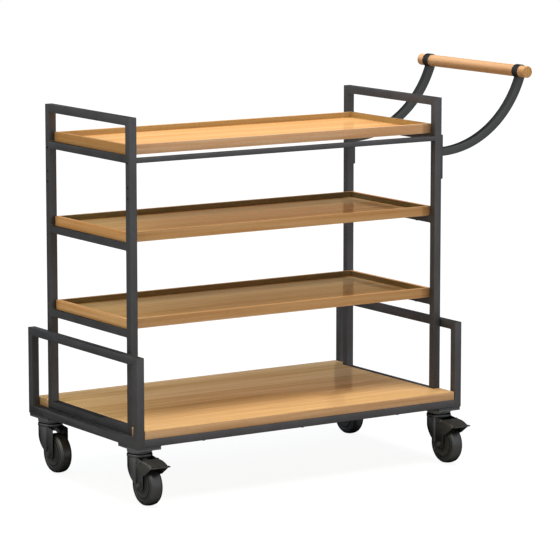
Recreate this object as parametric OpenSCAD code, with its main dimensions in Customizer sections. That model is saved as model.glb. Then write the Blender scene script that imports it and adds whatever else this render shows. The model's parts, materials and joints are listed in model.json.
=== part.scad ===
// Serving trolley: three rimmed wooden trays over a thick deck board, carried
// by welded square-tube frames on four swivel castors, with a wooden push bar
// held out from one end on two bent arms.
// X runs along the trolley towards the push bar, Y across it, Z up from the floor.
// The left end is -X, the front is -Y. The castors trail towards the front.

/* [Base] */
// Length of the base over its end hoops
base_l = 980; // [860:10:1100]
// Width of the base
base_w = 550; // [510:5:620]
// Height of the end hoops, from the underside of the base
hoop_h = 224; // [160:4:300]
// Thickness of the deck board
deck_t = 21.5; // [18:0.5:26]

/* [Frame] */
// Side of the square tube
tube = 20; // [19:0.5:22]
// Wall of every tube
wall = 1.5; // [1.2:0.1:2]
// Width of the tall end frames
frame_w = 420; // [380:5:440]
// Height of the tall end frames over the base rails
frame_h = 785; // [770:5:860]
// Height of the bars that carry the trays
shelf_bar_h = 18; // [15:0.5:20]
// Height of the tie rails under the top tray
tie_h = 12; // [10:0.5:14]

/* [Trays] */
// Underside of the top tray over the base rails
top_tray_z = 691; // [680:1:700]
// Step from one tray to the next
tray_pitch = 215.5; // [200:0.5:220]
// Distance of a tray's ends inside the outer faces of the end frames
tray_reveal = 11.5; // [9:0.5:14]
// Width of a tray
tray_w = 365; // [340:5:375]
// Height of a tray over its rim
tray_h = 24.5; // [22:0.5:32]
// Depth of the tray under its rim
tray_recess = 14; // [8:0.5:16]
// Width of the rim
rim_t = 10; // [8:0.5:14]

/* [Push bar] */
// Reach of the push bar out from the end frame
bar_reach = 257.5; // [220:2.5:300]
// Rise of the push bar over the foot of its arms
bar_rise = 197; // [180:1:210]
// Diameter of the push bar
bar_d = 31; // [28:0.5:36]
// Length of the push bar
bar_l = 474; // [455:1:520]
// Depth of an arm, across its bend
arm_h = 18; // [16:0.5:20]

/* [Castors] */
// Diameter of the wheels
wheel_d = 103; // [98:1:106]
// Width of the tyres
tyre_w = 32; // [28:1:34]
// Distance of the wheel axle behind the swivel axis
trail = 37; // [34:0.5:40]
// Radius of the swivel head
head_r = 32; // [31:0.5:33]
// Length of the mounting plate, across the trolley
plate_l = 96; // [90:1:100]
// Width of the mounting plate, along the trolley
plate_w = 67; // [65:1:72]
// Travel of the brake pedal in degrees
pedal_travel = 12; // [8:1:12]

/* [Hidden] */
$fn = 48;

// Clearances
play = 0.3;
run_fit = 0.05;
frame_gap = 1.5;
tiny = 0.01;

// Castor heights, counted up from the floor
wheel_r = wheel_d / 2;
crown_under = wheel_d + 19;
crown_t = 4;
crown_top = crown_under + crown_t;
rim_drop = 4;
race_gap = 3;
cup_h = 9;
plate_t = 4;
pad_t = 5;
pad_inset = 1.5;
cup_z = crown_top + race_gap;
plate_z = cup_z + cup_h;
pad_z = plate_z + plate_t;
base_z = pad_z + pad_t;
rail_top = base_z + tube;

// Places along and across the trolley
hoop_in = base_l / 2 - tube;
frame_out = hoop_in - frame_gap;
frame_in = frame_out - tube;
tray_l = 2 * (frame_out - tray_reveal);
castor_x = base_l / 2 - pad_inset - plate_w / 2;
castor_y = base_w / 2 - pad_inset - plate_l / 2;

// Castor fork, plan and side
fork_t = 2.5;
leg_out = tyre_w / 2 + 7.5;
leg_in = leg_out - fork_t;
leg_front = trail + 14.5;
shell_front = 16;
shell_r = head_r - 1;
leg_drop = 5.5;
skirt_drop = 25;
skirt_back = 17;
slope_turn = 37.6;
boss_r = 15;
axle_r = 4;
pin_r = 3;
kingpin_r = 6;
kingpin_head_r = 10;

// Brake pedal, a hood over both legs of the fork, its pivot and its reach from the swivel
pivot_y = -(leg_front - 7.5);
pivot_z = crown_under - 10;
pedal_wall = 2.4;
pedal_gap = 0.5;
pedal_in = leg_out + pedal_gap;
pedal_half = pedal_in + pedal_wall;
lug_r = 6;
hood_l = 54;
hood_round = 8;
crest_r = 70;
crest_back = 16;
crest_up = 6;
lip_l = 10;
lip_t = 2.5;
toe_low = 7;
foot_run = 19;
foot_low = 31;
heel_run = 12;
heel_low = 33;
heel_rise = 27;
shoe_x = 26;
shoe_l = 12;
shoe_half = 12;
shoe_drop = 9;
pedal_reach = hood_l + lip_l - 1 - pivot_y;

// Push bar
collar_t = 2.5;
collar_w = 21;
arm_set = 6;
bar_r = bar_d / 2;
collar_r = bar_r + run_fit + collar_t;
hplate_t = 5;
hplate_up = 45;
hplate_down = 70;
bar_z = rail_top + frame_h + 55;
bar_x = frame_out + bar_reach;
arm_z = bar_z - bar_rise;
arm_y = frame_w / 2 - tube / 2;
bend_r = (bar_reach * bar_reach + bar_rise * bar_rise - arm_set * arm_set)
  / (2 * (bar_rise - arm_set));
bend_end = asin((bend_r - bar_rise) / (bend_r - arm_set));

// The row's origin: middle of the trolley's own box, on the floor
mid_x = (bar_x + collar_r - base_l / 2) / 2;
mid_y = (base_w / 2 - castor_y - pedal_reach) / 2;

module placed() translate([-mid_x, -mid_y, 0]) children();

// A box given by its low and high corners
module span(lo, hi) translate(lo) cube([hi[0] - lo[0], hi[1] - lo[1], hi[2] - lo[2]]);

// A round bar along X, centred on the origin
module xrod(r, l) rotate([0, 90, 0]) cylinder(r = r, h = l, center = true);

// A round bar along Y, centred on the origin
module yrod(r, l) rotate([90, 0, 0]) cylinder(r = r, h = l, center = true);

// Base

// Closed hoop at one end: two corner posts, a top bar and the end rail
module end_hoop(side) {
  color("#3b3b3a")
  placed() scale([side, 1, 1])
  difference() {
    span([hoop_in, -base_w / 2, base_z], [hoop_in + tube, base_w / 2, base_z + hoop_h]);
    span([hoop_in - 1, -base_w / 2 + tube, rail_top],
      [hoop_in + tube + 1, base_w / 2 - tube, base_z + hoop_h - tube]);
    hoop_bore();
  }
}

// The bore of the hoop's tubes, open at the foot of each post
module hoop_bore() {
  x0 = hoop_in + wall;
  x1 = hoop_in + tube - wall;
  for (s = [-1, 1]) {
    scale([1, s, 1])
    span([x0, base_w / 2 - tube + wall, base_z - 1],
      [x1, base_w / 2 - wall, base_z + hoop_h - wall]);
  }
  for (z = [base_z, base_z + hoop_h - tube]) {
    span([x0, -base_w / 2 + wall, z + wall], [x1, base_w / 2 - wall, z + tube - wall]);
  }
}

// Straight tube along X between two planes
module tube_x(x0, x1, y0, z0, dy, dz) {
  difference() {
    span([x0, y0, z0], [x1, y0 + dy, z0 + dz]);
    span([x0 - 1, y0 + wall, z0 + wall], [x1 + 1, y0 + dy - wall, z0 + dz - wall]);
  }
}

// Straight tube along Y between two planes
module tube_y(y0, y1, x0, z0, dx, dz) {
  difference() {
    span([x0, y0, z0], [x0 + dx, y1, z0 + dz]);
    span([x0 + wall, y0 - 1, z0 + wall], [x0 + dx - wall, y1 + 1, z0 + dz - wall]);
  }
}

deck_screw_x = [-0.3 * base_l, 0, 0.3 * base_l];
deck_screw_r = 2.5;
deck_screw_bite = 12;

module side_rail(side) {
  color("#3b3b3a")
  placed() scale([1, side, 1])
  difference() {
    tube_x(-hoop_in, hoop_in, base_w / 2 - tube, base_z, tube, tube);
    for (x = deck_screw_x) {
      translate([x, base_w / 2 - tube / 2, base_z - 1]) cylinder(r = deck_screw_r + 0.25, h = tube + 2);
    }
  }
}

frame_bolt_y = frame_w * 0.29;
frame_bolt_r = 4;

module cross_rail(x0, bolted) {
  color("#3b3b3a")
  placed()
  difference() {
    tube_y(-base_w / 2 + tube, base_w / 2 - tube, x0, base_z, tube, tube);
    if (bolted) {
      for (s = [-1, 1]) {
        translate([x0 + tube / 2, s * frame_bolt_y, base_z - 1])
        cylinder(r = frame_bolt_r + 0.25, h = tube + 2);
      }
    }
  }
}

// Tall end frames

// Heights of the three tray seats
seats = [for (i = [0:2]) rail_top + top_tray_z - i * tray_pitch];
frame_top = rail_top + frame_h;

// Screws that hold a tray: their line lies in the rim's outer wall
tray_screw_r = 1.75;
tray_screw_x = tray_l / 2 - 3;
tray_screw_in = 60;
tray_screw_y = tray_w / 2 - tray_screw_in;
tray_screw_bite = 12;

// One welded ladder: two posts, top bar, three tray bars and a foot bar. Both ends are
// drilled for the push bar's plates, so the bar can go on either of them
module end_frame(side) {
  color("#3b3b3a")
  placed() scale([side, 1, 1])
  difference() {
    span([frame_in, -frame_w / 2, rail_top], [frame_out, frame_w / 2, frame_top]);
    frame_windows();
    frame_bore();
    tray_screw_holes();
    for (s = [-1, 1]) {
      translate([frame_out - tube / 2, s * frame_bolt_y, rail_top - 1])
      cylinder(r = frame_bolt_r + 0.25, h = wall + 2);
    }
    handle_bolt_places(handle_bolt_r + 0.1, wall + 2, frame_out - wall - 1);
  }
}

// The open spaces between the bars, from the foot upwards
module frame_windows() {
  lows = [rail_top + tube, seats[2], seats[1], seats[0]];
  highs = [
    seats[2] - shelf_bar_h, seats[1] - shelf_bar_h, seats[0] - shelf_bar_h, frame_top - tube
  ];
  for (i = [0:3]) {
    span([frame_in - 1, -frame_w / 2 + tube, lows[i]],
      [frame_out + 1, frame_w / 2 - tube, highs[i]]);
  }
}

// The bore of the ladder's tubes, open at the foot of each post
module frame_bore() {
  x0 = frame_in + wall;
  x1 = frame_out - wall;
  for (s = [-1, 1]) {
    scale([1, s, 1])
    span([x0, frame_w / 2 - tube + wall, rail_top - 1],
      [x1, frame_w / 2 - wall, frame_top - wall]);
  }
  for (z = [rail_top, frame_top - tube]) {
    span([x0, -frame_w / 2 + wall, z + wall], [x1, frame_w / 2 - wall, z + tube - wall]);
  }
  for (z = seats) {
    span([x0, -frame_w / 2 + wall, z - shelf_bar_h + wall],
      [x1, frame_w / 2 - wall, z - wall]);
  }
}

module tray_screw_holes() {
  for (z = seats, s = [-1, 1]) {
    translate([tray_screw_x, s * tray_screw_y, z - shelf_bar_h - 1])
    cylinder(r = tray_screw_r + 0.25, h = shelf_bar_h + 2);
  }
}

// Tie rail along the trolley, level with the underside of the top tray bars
module tie_rail(side) {
  color("#3b3b3a")
  placed() scale([1, side, 1])
  tube_x(-frame_in, frame_in, frame_w / 2 - tube, seats[0] - shelf_bar_h, tube, tie_h);
}

// Deck board

// The board fills the base between the end hoops, notched round the tall end frames
module deck_board() {
  color("#d9a062")
  placed()
  difference() {
    span([-frame_out, -base_w / 2, rail_top], [frame_out, base_w / 2, rail_top + deck_t]);
    for (sx = [-1, 1]) {
      scale([sx, 1, 1])
      span([frame_in - 0.5, -frame_w / 2 - 0.5, rail_top - 1],
        [base_l / 2, frame_w / 2 + 0.5, rail_top + deck_t + 1]);
    }
    for (x = deck_screw_x, s = [-1, 1]) {
      translate([x, s * (base_w / 2 - tube / 2), rail_top - 1])
      cylinder(r = deck_screw_r + 0.02, h = deck_screw_bite + 1.5);
    }
  }
}

// A pan-head screw standing on its head, the shank up +Z from the seat
module screw(r, l, head_r, head_h) {
  cylinder(r = r, h = l);
  translate([0, 0, -head_h]) cylinder(r1 = head_r * 0.75, r2 = head_r, h = head_h);
}

module deck_screws() {
  color("#2b2b2b")
  placed()
  for (x = deck_screw_x, s = [-1, 1]) {
    translate([x, s * (base_w / 2 - tube / 2), base_z])
    screw(deck_screw_r, tube + deck_screw_bite, 4.5, 2.5);
  }
}

// Bolts that hold the ladders down on the cross rails
module frame_bolts() {
  color("#2b2b2b")
  placed()
  for (sx = [-1, 1], sy = [-1, 1]) {
    translate([sx * (frame_out - tube / 2), sy * frame_bolt_y, base_z]) {
      cylinder(r = frame_bolt_r, h = tube + tube - wall - 2);
      translate([0, 0, -5]) cylinder(r = 6.5, h = 5, $fn = 6);
    }
  }
}

// Trays

// The panel's thinner edge lies in a rebate round the foot of the rim
rebate = 4;
panel_t = tray_h - tray_recess;
panel_edge_t = panel_t - 3;

// Rim of a tray with its underside on a seat
module tray_rim(i) {
  z = seats[i];
  ix = tray_l / 2 - rim_t;
  iy = tray_w / 2 - rim_t;
  color("#c08a50")
  placed()
  difference() {
    span([-tray_l / 2, -tray_w / 2, z], [tray_l / 2, tray_w / 2, z + tray_h]);
    span([-ix, -iy, z - 1], [ix, iy, z + tray_h + 1]);
    span([-ix - rebate, -iy - rebate, z - 1], [ix + rebate, iy + rebate, z + panel_edge_t]);
    for (sx = [-1, 1], sy = [-1, 1]) {
      translate([sx * tray_screw_x, sy * tray_screw_y, z - 1])
      cylinder(r = tray_screw_r + 0.02, h = tray_screw_bite + 1.5);
    }
    rim_bevels(z + tray_h, ix, iy);
  }
}

// Eased upper edges, outside and inside
module rim_bevels(z, ix, iy) {
  e = 1.2;
  c = e / sqrt(2);
  for (s = [-1, 1]) {
    translate([0, s * tray_w / 2, z]) rotate([45, 0, 0]) cube([tray_l + 2, e, e], center = true);
    translate([s * tray_l / 2, 0, z]) rotate([0, 45, 0]) cube([e, tray_w + 2, e], center = true);
  }
  intersection() {
    rotate([90, 0, 0]) linear_extrude(height = tray_w, center = true) flared(z, ix, c);
    rotate([90, 0, 90]) linear_extrude(height = tray_l, center = true) flared(z, iy, c);
  }
}

// Section of the eased mouth of the tray, opening upwards
module flared(z, half, c) {
  polygon([
    [-half + 1, z - c - 1], [half - 1, z - c - 1],
    [half + c + 1, z + 1], [-half - c - 1, z + 1]
  ]);
}

module tray_panel(i) {
  z = seats[i];
  ix = tray_l / 2 - rim_t;
  iy = tray_w / 2 - rim_t;
  color("#e6b071")
  placed()
  union() {
    span([-ix - rebate, -iy - rebate, z], [ix + rebate, iy + rebate, z + panel_edge_t]);
    span([-ix, -iy, z + 1], [ix, iy, z + panel_t]);
  }
}

// Screws up through the tray bars into the rims
module tray_screws() {
  color("#2b2b2b")
  placed()
  for (z = seats, sx = [-1, 1], sy = [-1, 1]) {
    translate([sx * tray_screw_x, sy * tray_screw_y, z - shelf_bar_h])
    screw(tray_screw_r, shelf_bar_h + tray_screw_bite, 3.4, 2);
  }
}

// Push bar

handle_bolt_r = 3;
handle_bolt_low = 56;
handle_bolt_mid = 29;
handle_bolt_high = 31;
handle_head_r = 5.3;
handle_head_h = 3.2;
handle_bolt_bite = 4;
handle_bolt_z = [arm_z - handle_bolt_low, arm_z - handle_bolt_mid, arm_z + handle_bolt_high];

// Cylinders along X at the six plate bolts
module handle_bolt_places(r, l, x0) {
  for (s = [-1, 1], z = handle_bolt_z) {
    translate([x0, s * arm_y, z]) rotate([0, 90, 0]) cylinder(r = r, h = l);
  }
}

module handle_plate(side) {
  color("#3b3b3a")
  placed()
  difference() {
    span([frame_out, side * arm_y - tube / 2, arm_z - hplate_down],
      [frame_out + hplate_t, side * arm_y + tube / 2, arm_z + hplate_up]);
    handle_bolt_places(handle_bolt_r + 0.1, hplate_t + 2, frame_out - 1);
  }
}

// Arm: a tube bent upwards in one arc, welded to a collar round the bar
module handle_arm(side) {
  start = asin(hplate_t / bend_r);
  color("#3b3b3a")
  placed()
  translate([0, side * arm_y, 0])
  difference() {
    union() {
      translate([frame_out, 0, arm_z + bend_r])
      rotate([90, 0, 0])
      rotate([0, 0, -90 + start * 0.5])
      rotate_extrude(angle = 90 - bend_end - start * 0.5, $fn = 160)
      translate([bend_r - arm_h / 2, -tube / 2]) square([arm_h, tube]);
      translate([bar_x, 0, bar_z]) yrod(collar_r, collar_w);
    }
    span([frame_out - 5, -tube, arm_z - tube], [frame_out + hplate_t, tube, arm_z + tube]);
    translate([bar_x, 0, bar_z]) yrod(bar_r + run_fit, collar_w + 2);
    translate([bar_x, 0, bar_z]) rotate([0, set_screw_turn, 0])
    cylinder(r = set_screw_r + 0.05, h = collar_r + 5);
  }
}

// The set screws enter the collars from behind, level with the push bar
set_screw_r = 2;
set_screw_turn = 90;
set_screw_bite = 6;

module handle_bar() {
  e = 1.5;
  color("#e0b080")
  placed()
  translate([bar_x, 0, bar_z])
  difference() {
    union() {
      yrod(bar_r, bar_l - 2 * e);
      for (s = [-1, 1]) {
        translate([0, s * (bar_l / 2 - e), 0]) rotate([-90 * s, 0, 0])
        cylinder(r1 = bar_r, r2 = bar_r - e, h = e);
      }
    }
    for (s = [-1, 1]) {
      translate([0, s * arm_y, 0]) rotate([0, set_screw_turn, 0])
      translate([0, 0, bar_r - set_screw_bite]) cylinder(r = set_screw_r + 0.02, h = bar_r);
    }
  }
}

module handle_set_screws() {
  color("#2b2b2b")
  placed()
  for (s = [-1, 1]) {
    translate([bar_x, s * arm_y, bar_z]) rotate([0, set_screw_turn, 0])
    difference() {
      translate([0, 0, bar_r - set_screw_bite + 0.3])
      cylinder(r = set_screw_r, h = collar_r - bar_r + set_screw_bite - 0.5);
      translate([0, 0, collar_r - 1.8]) cylinder(r = 1.1, h = 3, $fn = 6);
    }
  }
}

// Button-head bolts through the plates into the posts
module handle_bolts() {
  color("#2b2b2b")
  placed() {
    handle_bolt_places(handle_bolt_r, hplate_t + wall + handle_bolt_bite,
      frame_out - wall - handle_bolt_bite);
    for (s = [-1, 1], z = handle_bolt_z) {
      translate([frame_out + hplate_t, s * arm_y, z]) rotate([0, 90, 0])
      difference() {
        cylinder(r1 = handle_head_r, r2 = handle_head_r * 0.64, h = handle_head_h);
        translate([0, 0, handle_head_h * 0.45])
        cylinder(r = handle_bolt_r * 0.65, h = handle_head_h, $fn = 6);
      }
    }
  }
}

// Castors

// Everything below is drawn round a swivel axis at the origin
module at_castor(sx, sy) placed() translate([sx * castor_x, sy * castor_y, 0]) children();

castor_bolt_x = plate_w / 2 - 10.5;
castor_bolt_y = plate_l / 2 - 10.5;
castor_bolt_r = 4;
bolt_head_r = 7.2;
bolt_head_h = 3.2;
bolt_gap = 0.25;
socket_r = 2.8;
socket_h = 2.4;
cup_r = head_r - 0.5;

module castor_bolt_places(r, z0, h) {
  for (sx = [-1, 1], sy = [-1, 1]) {
    translate([sx * castor_bolt_x, sy * castor_bolt_y, z0]) cylinder(r = r, h = h);
  }
}

// Pad welded under the corner of the base, tapped for the castor's bolts
module castor_pad(sx, sy) {
  color("#3b3b3a")
  at_castor(sx, sy)
  difference() {
    span([-plate_w / 2, -plate_l / 2, pad_z], [plate_w / 2, plate_l / 2, base_z]);
    castor_bolt_places(castor_bolt_r + 0.02, pad_z - 1, pad_t + 2);
  }
}

// Top plate with the fixed race cup and the riveted kingpin
module castor_plate(sx, sy) {
  color("#2c2c2b")
  at_castor(sx, sy)
  difference() {
    union() {
      span([-plate_w / 2, -plate_l / 2, plate_z], [plate_w / 2, plate_l / 2, pad_z]);
      translate([0, 0, cup_z + 2]) cylinder(r = cup_r, h = cup_h - 2);
      translate([0, 0, cup_z]) cylinder(r1 = cup_r - 1.5, r2 = cup_r, h = 2);
      translate([0, 0, crown_top + play]) cylinder(r = head_r - 7, h = race_gap + 1);
      translate([0, 0, crown_under - play - 1]) cylinder(r = kingpin_r, h = cup_h);
      translate([0, 0, crown_under - play - 3]) cylinder(r1 = 7, r2 = kingpin_head_r, h = 3);
    }
    castor_bolt_places(castor_bolt_r + bolt_gap, plate_z - 1, plate_t + 2);
    for (u = [-1, 1], v = [-1, 1]) {
      translate([u * castor_bolt_x, v * castor_bolt_y, plate_z]) sunk_head(bolt_gap);
    }
  }
}

// Countersunk head of a castor bolt, grown by a gap for its seat in the plate
module sunk_head(gap) {
  cylinder(r1 = bolt_head_r + gap, r2 = castor_bolt_r + gap, h = bolt_head_h);
}

// Countersunk socket bolts, flush with the underside of the castor plates
module castor_bolts() {
  color("#2b2b2b")
  for (sx = [-1, 1], sy = [-1, 1]) {
    at_castor(sx, sy) {
      for (u = [-1, 1], v = [-1, 1]) {
        translate([u * castor_bolt_x, v * castor_bolt_y, plate_z])
        difference() {
          union() {
            sunk_head(0);
            cylinder(r = castor_bolt_r, h = plate_t + pad_t - play);
          }
          translate([0, 0, -1]) cylinder(r = socket_r, h = 1 + socket_h, $fn = 6);
        }
      }
    }
  }
}

// Outline of the fork seen from above: round behind, two straight legs in front
module fork_plan(inset) {
  intersection() {
    circle(r = shell_r - inset, $fn = 96);
    translate([-head_r, -shell_front + inset]) square([2 * head_r, 2 * head_r + 5]);
  }
  front = inset > 0 ? leg_front + 5 : leg_front;
  translate([-leg_out + inset, -front]) square([2 * (leg_out - inset), front]);
}

// Outline of the fork seen from the side, as [y, z]: a level skirt behind, then a slope
// down to the axle boss
module fork_side() {
  run = head_r + 1;
  top = crown_under + 1;
  skirt_z = crown_under - skirt_drop;
  foot_y = -trail + (boss_r - 0.4) * cos(slope_turn);
  foot_z = wheel_r - (boss_r - 0.4) * sin(slope_turn);
  polygon([
    [run, top], [run, skirt_z], [skirt_back, skirt_z], [foot_y, foot_z], [-trail, wheel_r],
    [-leg_front, wheel_r], [-leg_front, crown_under - leg_drop],
    [-shell_front, crown_under - 0.5], [-shell_front, top]
  ]);
  translate([-trail, wheel_r]) circle(r = boss_r);
}

// Turns an outline in [y, z] into a solid across X
module across(half) {
  rotate([90, 0, 90]) translate([0, 0, -half]) linear_extrude(height = 2 * half) children();
}

module castor_fork(sx, sy, braked) {
  color("#2c2c2b")
  at_castor(sx, sy)
  difference() {
    union() {
      translate([0, 0, crown_under - rim_drop + 2])
      cylinder(r = head_r, h = crown_t + rim_drop - 4, $fn = 96);
      translate([0, 0, crown_top - 2]) cylinder(r1 = head_r, r2 = head_r - 2, h = 2, $fn = 96);
      translate([0, 0, crown_under - rim_drop])
      cylinder(r1 = head_r - 1.5, r2 = head_r, h = 2, $fn = 96);
      intersection() {
        linear_extrude(height = crown_under + 1) fork_plan(0);
        across(head_r + 1) fork_side();
      }
    }
    translate([0, 0, -1]) linear_extrude(height = crown_under + 1) fork_plan(fork_t);
    translate([0, 0, crown_under - 1]) cylinder(r = kingpin_r + run_fit, h = crown_t + 2);
    translate([0, -trail, wheel_r]) xrod(axle_r + 0.02, 3 * leg_out);
    if (braked) translate([0, pivot_y, pivot_z]) xrod(pin_r + 0.02, 3 * leg_out);
  }
}

// Axle bolt with its washers, hexagon head and nut
module castor_axle(sx, sy) {
  color("#3a3a3a")
  at_castor(sx, sy)
  translate([0, -trail, wheel_r]) {
    xrod(axle_r, 2 * leg_out + 16);
    for (s = [-1, 1]) {
      translate([s * (leg_out + 0.75), 0, 0]) xrod(8, 1.5);
      translate([s * (leg_out + 1.5 + 2.5), 0, 0]) rotate([30, 0, 0]) xhex(6.5, 5);
    }
  }
}

module xhex(r, l) rotate([0, 90, 0]) cylinder(r = r, h = l, center = true, $fn = 6);

tyre_bore_r = wheel_r - 17.5;
hub_set = 1.5;
guard_out = 1.5;
guard_gap = 1.6;
dish_r = 30;
dish_deep = 1.2;
dish_mid = 20;

// Moulded wheel centre, its boss, and the thread guard on each side: a shallow dished disc
// that stands a little proud of the tyre, with a groove round it
module castor_hub(sx, sy) {
  face = tyre_w / 2 - hub_set;
  proud = tyre_w / 2 + guard_out;
  guard_r = tyre_bore_r - guard_gap;
  color("#343434")
  at_castor(sx, sy)
  translate([0, -trail, wheel_r])
  difference() {
    union() {
      rotate([0, 90, 0])
      rotate_extrude($fn = 96)
      difference() {
        union() {
          translate([0, -face]) square([tyre_bore_r - run_fit, 2 * face]);
          translate([0, -proud]) square([guard_r - 1, 2 * proud]);
          translate([0, -proud + 1]) square([guard_r, 2 * (proud - 1)]);
          for (s = [-1, 1]) translate([guard_r - 1, s * (proud - 1)]) circle(r = 1);
        }
        for (s = [-1, 1]) {
          translate([dish_mid, s * (proud + dish_r - dish_deep)]) circle(r = dish_r, $fn = 120);
        }
      }
      xrod(9.5, 2 * (leg_in - play));
    }
    xrod(axle_r + run_fit, 2 * tyre_w);
  }
}

tread_half = 12;
tread_round = 40;
shoulder_r = 4;
shoulder_drop = 3;
bead_in = 2.5;
bead_w = 4.5;
bead_h = 0.6;

// Tyre with a crowned tread, round shoulders below it and a bead ring on each wall
module castor_tyre(sx, sy) {
  half = tyre_w / 2;
  top = wheel_r - shoulder_drop;
  color("#2a2a2b")
  at_castor(sx, sy)
  translate([0, -trail, wheel_r])
  rotate([0, 90, 0])
  rotate_extrude($fn = 120) {
    translate([tyre_bore_r, -half]) square([top - shoulder_r - tyre_bore_r, 2 * half]);
    translate([tyre_bore_r, -half + shoulder_r])
    square([top - tyre_bore_r, 2 * (half - shoulder_r)]);
    for (s = [-1, 1]) translate([top - shoulder_r, s * (half - shoulder_r)]) circle(r = shoulder_r);
    translate([tyre_bore_r + bead_in, -half - bead_h]) square([bead_w, 2 * (half + bead_h)]);
    intersection() {
      translate([tyre_bore_r, -tread_half]) square([wheel_r, 2 * tread_half]);
      translate([wheel_r - tread_round, 0]) circle(r = tread_round, $fn = 240);
    }
  }
}

// Outline of the pedal seen from the side, from its pivot: toe, foot of the cheek, heel
module pedal_side() {
  translate([pivot_y, pivot_z])
  polygon([
    [lug_r, crest_up + 2], [-hood_l, crest_up + 2], [-hood_l, -toe_low], [-foot_run, -foot_low],
    [-heel_run, -heel_low], [0, -heel_rise], [lug_r, 0]
  ]);
}

// Ring that the hood is a piece of, with its two edges rounded
module hood_ring(r, half, edge_r) {
  rotate([0, 90, 0])
  rotate_extrude($fn = 240) {
    translate([0, -half]) square([r - edge_r, 2 * half]);
    translate([0, -half + edge_r]) square([r, 2 * (half - edge_r)]);
    for (s = [-1, 1]) translate([r - edge_r, s * (half - edge_r)]) circle(r = edge_r);
  }
}

// Pressed hood that crowns over the wheel, with its cheeks outside the fork and a toe lip
module brake_pedal(sx, sy) {
  crest = [0, pivot_y - crest_back, pivot_z + crest_up - crest_r];
  roof_y = -leg_front - pedal_gap;
  inner_y = pivot_y - hood_l + pedal_wall;
  color("#262626")
  at_castor(sx, sy)
  difference() {
    union() {
      difference() {
        intersection() {
          across(pedal_half) pedal_side();
          translate(crest) hood_ring(crest_r, pedal_half, hood_round);
        }
        intersection() {
          translate(crest) hood_ring(crest_r - pedal_wall, pedal_in, hood_round - pedal_wall);
          span([-pedal_half, inner_y, 0], [pedal_half, 0, crown_top]);
        }
        span([-pedal_in, roof_y, 0], [pedal_in, 0, crown_top]);
      }
      for (s = [-1, 1]) {
        translate([s * (pedal_in + pedal_wall / 2), pivot_y, pivot_z]) xrod(lug_r, pedal_wall);
      }
      span([-pedal_half + 1, pivot_y - hood_l - lip_l + 1, pivot_z - toe_low],
        [pedal_half - 1, inner_y + 0.5, pivot_z - toe_low + lip_t]);
      span([-shoe_half, pivot_y - shoe_x, pivot_z - shoe_drop],
        [shoe_half, pivot_y - shoe_x + shoe_l, pivot_z + crest_up - 1.2]);
    }
    translate([0, pivot_y, pivot_z]) xrod(pin_r + run_fit, 3 * pedal_half);
  }
}

// Riveted pin that the pedal turns on
module brake_pin(sx, sy) {
  color("#3a3a3a")
  at_castor(sx, sy)
  translate([0, pivot_y, pivot_z]) {
    xrod(pin_r, 2 * (pedal_half + play) + 3);
    for (s = [-1, 1]) translate([s * (pedal_half + play + 0.75), 0, 0]) xrod(4.5, 1.5);
  }
}

// What is drawn

end_hoop(-1);  // end_hoop_left
end_hoop(1);  // end_hoop_right
side_rail(-1);  // side_rail_front
side_rail(1);  // side_rail_back
cross_rail(-frame_out, true);  // cross_rail_left
cross_rail(-tube / 2, false);  // cross_rail_middle
cross_rail(frame_in, true);  // cross_rail_right
end_frame(-1);  // end_frame_left
end_frame(1);  // end_frame_right
tie_rail(-1);  // tie_rail_front
tie_rail(1);  // tie_rail_back
deck_board();
deck_screws();
frame_bolts();
tray_rim(0);  // tray_top_rim
tray_panel(0);  // tray_top_panel
tray_rim(1);  // tray_middle_rim
tray_panel(1);  // tray_middle_panel
tray_rim(2);  // tray_bottom_rim
tray_panel(2);  // tray_bottom_panel
tray_screws();
handle_plate(-1);  // handle_plate_front
handle_plate(1);  // handle_plate_back
handle_arm(-1);  // handle_arm_front
handle_arm(1);  // handle_arm_back
handle_bar();
handle_bolts();
handle_set_screws();
castor_pad(-1, -1);  // castor_pad_fl
castor_pad(1, -1);  // castor_pad_fr
castor_pad(-1, 1);  // castor_pad_bl
castor_pad(1, 1);  // castor_pad_br
castor_bolts();
castor_plate(-1, -1);  // castor_plate_fl
castor_plate(1, -1);  // castor_plate_fr
castor_plate(-1, 1);  // castor_plate_bl
castor_plate(1, 1);  // castor_plate_br
castor_fork(-1, -1, true);  // castor_fork_fl
castor_fork(1, -1, true);  // castor_fork_fr
castor_fork(-1, 1, false);  // castor_fork_bl
castor_fork(1, 1, false);  // castor_fork_br
castor_axle(-1, -1);  // castor_axle_fl
castor_axle(1, -1);  // castor_axle_fr
castor_axle(-1, 1);  // castor_axle_bl
castor_axle(1, 1);  // castor_axle_br
castor_hub(-1, -1);  // castor_hub_fl
castor_hub(1, -1);  // castor_hub_fr
castor_hub(-1, 1);  // castor_hub_bl
castor_hub(1, 1);  // castor_hub_br
castor_tyre(-1, -1);  // castor_tyre_fl
castor_tyre(1, -1);  // castor_tyre_fr
castor_tyre(-1, 1);  // castor_tyre_bl
castor_tyre(1, 1);  // castor_tyre_br
brake_pedal(-1, -1);  // brake_pedal_fl
brake_pedal(1, -1);  // brake_pedal_fr
brake_pin(-1, -1);  // brake_pin_fl
brake_pin(1, -1);  // brake_pin_fr
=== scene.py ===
# %% [markdown]
# # A serving trolley
# Three rimmed wooden trays and a deck board stand in welded square-tube frames on four
# castors, and a round wooden push bar is held out from one end on two bent arms.
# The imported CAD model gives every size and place. This script dresses it: each cell adds
# one finish or one piece, measured from the CAD solid that it stands for.

# %% Load the frame
import json
import math
import bmesh
import bpy
from mathutils import Matrix, Vector


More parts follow.
